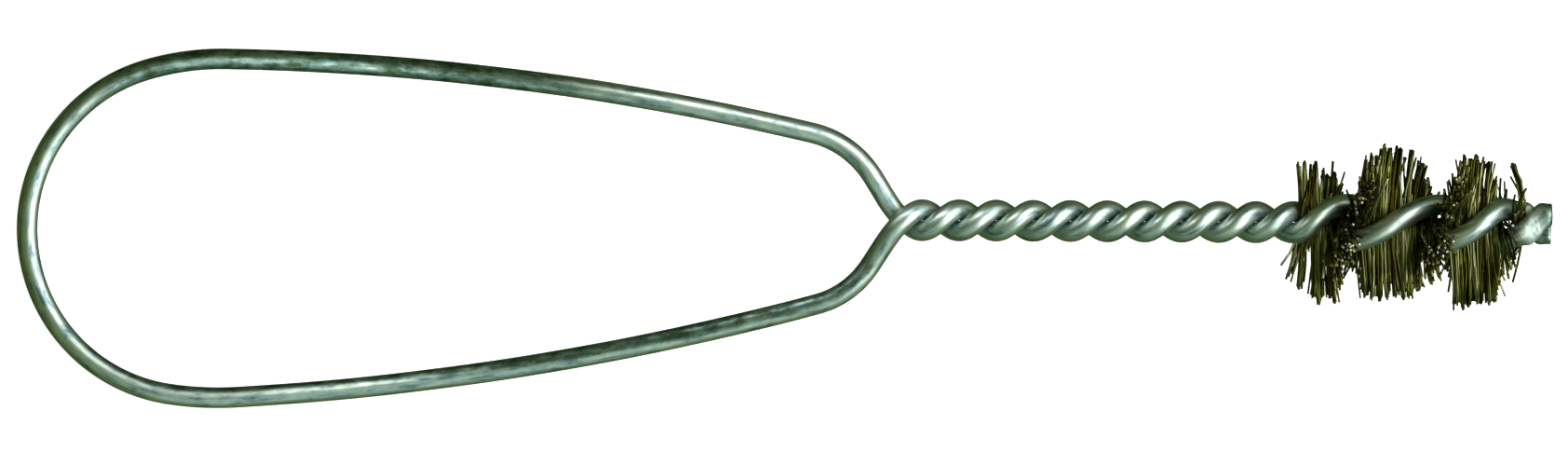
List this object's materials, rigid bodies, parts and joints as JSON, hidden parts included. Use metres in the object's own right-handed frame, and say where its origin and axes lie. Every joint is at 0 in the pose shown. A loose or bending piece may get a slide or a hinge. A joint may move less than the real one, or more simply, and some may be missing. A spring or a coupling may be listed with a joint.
{
  "type": "twisted wire cleaning brush",
  "caption": "Small twisted-wire cleaning brush: brass filaments held between the twisted legs of one wire, bent into a loop handle at the other end.",
  "frame": {"origin": "on the stem's axis at the tip, in the plane of the wire's two cut ends", "axes": "+X along the stem from the loop out of the tip; +Z square to the flat loop, on the side where the -Y leg of the loop crosses over the other at the neck; +Y across the loop"},
  "size_m": [0.168, 0.0393, 0.0182],
  "materials": {
    "wire": "satin galvanised",
    "filament": "fine drawn wire"
  },
  "bodies": {
    "root": {"stem_wire": "wire", "filaments_01": "filament", "filaments_02": "filament", "filaments_03": "filament", "filaments_04": "filament", "filaments_05": "filament", "filaments_06": "filament", "filaments_07": "filament", "filaments_08": "filament", "filaments_09": "filament", "filaments_10": "filament", "filaments_11": "filament", "filaments_12": "filament", "filaments_13": "filament", "filaments_14": "filament", "filaments_15": "filament", "filaments_16": "filament", "filaments_17": "filament", "filaments_18": "filament", "filaments_19": "filament", "filaments_20": "filament", "filaments_21": "filament", "filaments_22": "filament", "filaments_23": "filament", "filaments_24": "filament", "filaments_25": "filament", "filaments_26": "filament"}
  },
  "joints": []
}
